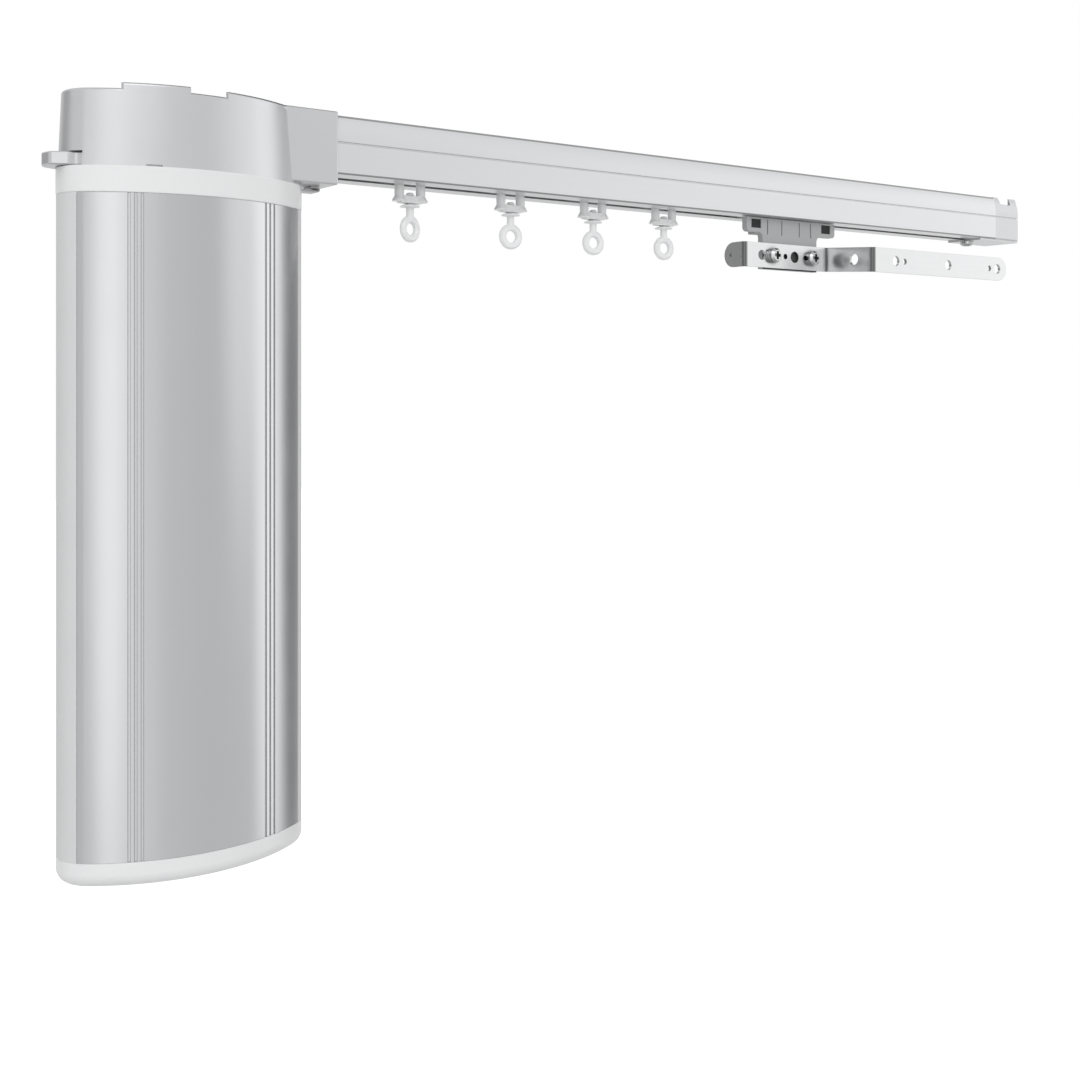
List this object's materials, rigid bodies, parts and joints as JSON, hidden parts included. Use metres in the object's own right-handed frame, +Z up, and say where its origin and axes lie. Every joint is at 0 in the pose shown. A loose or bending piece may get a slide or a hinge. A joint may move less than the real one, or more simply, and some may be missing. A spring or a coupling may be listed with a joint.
{
  "type": "electric curtain track",
  "caption": "Electric curtain track: upright oval motor and belt pulley head driving a slotted track with gliders, swivel eyelets and a master carrier with a bent steel arm.",
  "frame": {"origin": "middle of the bracket channel on the track's top face, at the mouth of the head's sleeve", "axes": "+X along the track away from the motor, +Y to the back of the track, +Z up"},
  "size_m": [0.6088, 0.0718, 0.3173],
  "materials": {
    "track_aluminium": "satin anodised",
    "cover_aluminium": "satin anodised",
    "rear_plastic": "fine texture",
    "white_plastic": "semi gloss",
    "head_plastic": "fine texture",
    "carrier_plastic": "fine texture",
    "glider_plastic": "smooth",
    "pad_rubber": "matt",
    "arm_steel": "zinc plated",
    "screw_steel": "zinc plated",
    "belt_rubber": "matt",
    "pulley_plastic": "smooth",
    "bush_bronze": "sintered",
    "frame_plastic": "smooth",
    "motor_steel": "zinc plated",
    "board_green": "solder mask",
    "socket_black": "smooth",
    "lens_clear": "polished",
    "contact_brass": "plated",
    "clip_steel": "blued spring steel"
  },
  "bodies": {
    "rail": {"track_profile": "track_aluminium", "head_housing": "head_plastic", "head_base": "head_plastic", "head_screws": "screw_steel", "upper_bearing": "bush_bronze", "lower_bearing": "bush_bronze", "lever_pin": "screw_steel", "sleeve_clip": "clip_steel", "drive_belt": "belt_rubber", "idler_pins": "screw_steel", "end_pulley_axle": "screw_steel", "end_pulley_housing": "head_plastic", "end_screw": "screw_steel", "motor_cover": "cover_aluminium", "rear_cover": "rear_plastic", "top_collar": "white_plastic", "bottom_cap": "white_plastic", "cap_screws": "screw_steel", "power_inlet": "socket_black", "inlet_pins": "screw_steel", "data_socket": "socket_black", "socket_contacts": "contact_brass", "status_lens": "lens_clear", "button_board": "board_green", "chassis": "frame_plastic", "gearbox": "motor_steel", "motor_can": "motor_steel", "control_board": "board_green", "power_module": "socket_black"},
    "drive": {"drive_pulley": "pulley_plastic", "output_shaft": "motor_steel"},
    "front_idler": {"front_idler": "pulley_plastic"},
    "rear_idler": {"rear_idler": "pulley_plastic"},
    "end_pulley": {"end_pulley": "pulley_plastic"},
    "lock_lever": {"lock_lever": "head_plastic"},
    "program_button": {"program_button": "white_plastic"},
    "carrier": {"carrier_body": "carrier_plastic", "carrier_pads": "pad_rubber", "belt_clamp": "carrier_plastic", "clamp_screw": "screw_steel", "steel_arm": "arm_steel", "arm_screws": "screw_steel", "arm_washers": "screw_steel"},
    "carrier_rollers_1": {"carrier_rollers_1": "pulley_plastic"},
    "carrier_rollers_2": {"carrier_rollers_2": "pulley_plastic"},
    "glider_1": {"glider_1": "glider_plastic"},
    "eyelet_1": {"eyelet_1": "glider_plastic"},
    "glider_2": {"glider_2": "glider_plastic"},
    "eyelet_2": {"eyelet_2": "glider_plastic"},
    "glider_3": {"glider_3": "glider_plastic"},
    "eyelet_3": {"eyelet_3": "glider_plastic"},
    "glider_4": {"glider_4": "glider_plastic"},
    "eyelet_4": {"eyelet_4": "glider_plastic"}
  },
  "joints": [
    {"name": "carrier_slide", "type": "slide", "parent": "rail", "child": "carrier", "axis": [1, 0, 0], "range_m": [-0.164, 0.12]},
    {"name": "drive_spin", "type": "hinge", "parent": "rail", "child": "drive", "pos_m": [-0.0652, 0, -0.0124], "axis": [0, 0, 1], "range_deg": [-627, 459]},
    {"name": "front_idler_spin", "type": "hinge", "parent": "rail", "child": "front_idler", "pos_m": [-0.04, -0.013, -0.0124], "axis": [0, 0, 1], "range_deg": [-1528, 2089]},
    {"name": "rear_idler_spin", "type": "hinge", "parent": "rail", "child": "rear_idler", "pos_m": [-0.04, 0.013, -0.0124], "axis": [0, 0, 1], "range_deg": [-1528, 2089]},
    {"name": "end_pulley_spin", "type": "hinge", "parent": "rail", "child": "end_pulley", "pos_m": [0.472, 0, -0.0124], "axis": [0, 0, 1], "range_deg": [-1106, 809]},
    {"name": "carrier_rollers_1_roll", "type": "hinge", "parent": "carrier", "child": "carrier_rollers_1", "pos_m": [0.2618, 0, -0.0213], "axis": [0, 1, 0], "range_deg": [-3356, 2456]},
    {"name": "carrier_rollers_2_roll", "type": "hinge", "parent": "carrier", "child": "carrier_rollers_2", "pos_m": [0.3086, 0, -0.0213], "axis": [0, 1, 0], "range_deg": [-3356, 2456]},
    {"name": "glider_1_slide", "type": "slide", "parent": "rail", "child": "glider_1", "axis": [1, 0, 0], "range_m": [-0.034, 0.0249]},
    {"name": "eyelet_1_swivel", "type": "hinge", "parent": "glider_1", "child": "eyelet_1", "pos_m": [0.0449, 0, -0.0342], "axis": [0, 0, 1], "continuous": true},
    {"name": "glider_2_slide", "type": "slide", "parent": "rail", "child": "glider_2", "axis": [1, 0, 0], "range_m": [-0.0697, 0.051]},
    {"name": "eyelet_2_swivel", "type": "hinge", "parent": "glider_2", "child": "eyelet_2", "pos_m": [0.1016, 0, -0.0342], "axis": [0, 0, 1], "continuous": true},
    {"name": "glider_3_slide", "type": "slide", "parent": "rail", "child": "glider_3", "axis": [1, 0, 0], "range_m": [-0.0996, 0.0729]},
    {"name": "eyelet_3_swivel", "type": "hinge", "parent": "glider_3", "child": "eyelet_3", "pos_m": [0.1525, 0, -0.0342], "axis": [0, 0, 1], "continuous": true},
    {"name": "glider_4_slide", "type": "slide", "parent": "rail", "child": "glider_4", "axis": [1, 0, 0], "range_m": [-0.1257, 0.092]},
    {"name": "eyelet_4_swivel", "type": "hinge", "parent": "glider_4", "child": "eyelet_4", "pos_m": [0.1996, 0, -0.0342], "axis": [0, 0, 1], "continuous": true},
    {"name": "lever_swing", "type": "hinge", "parent": "rail", "child": "lock_lever", "pos_m": [-0.0932, 0, -0.027], "axis": [0, 0, 1], "range_deg": [-40, 0]},
    {"name": "button_press", "type": "slide", "parent": "rail", "child": "program_button", "axis": [0, 0, 1], "range_m": [0, 0.001], "stiffness_N_per_m": 400}
  ],
  "couplings": [
    {"joint": "drive_spin", "follows": "carrier_slide", "rad_per_m": 66.667},
    {"joint": "end_pulley_spin", "follows": "carrier_slide", "rad_per_m": 117.65},
    {"joint": "front_idler_spin", "follows": "carrier_slide", "rad_per_m": -222.22},
    {"joint": "rear_idler_spin", "follows": "carrier_slide", "rad_per_m": -222.22},
    {"joint": "carrier_rollers_1_roll", "follows": "carrier_slide", "rad_per_m": 357.14},
    {"joint": "carrier_rollers_2_roll", "follows": "carrier_slide", "rad_per_m": 357.14},
    {"joint": "glider_1_slide", "follows": "carrier_slide", "ratio": 0.20732},
    {"joint": "glider_2_slide", "follows": "carrier_slide", "ratio": 0.425},
    {"joint": "glider_3_slide", "follows": "carrier_slide", "ratio": 0.60732},
    {"joint": "glider_4_slide", "follows": "carrier_slide", "ratio": 0.76646}
  ]
}
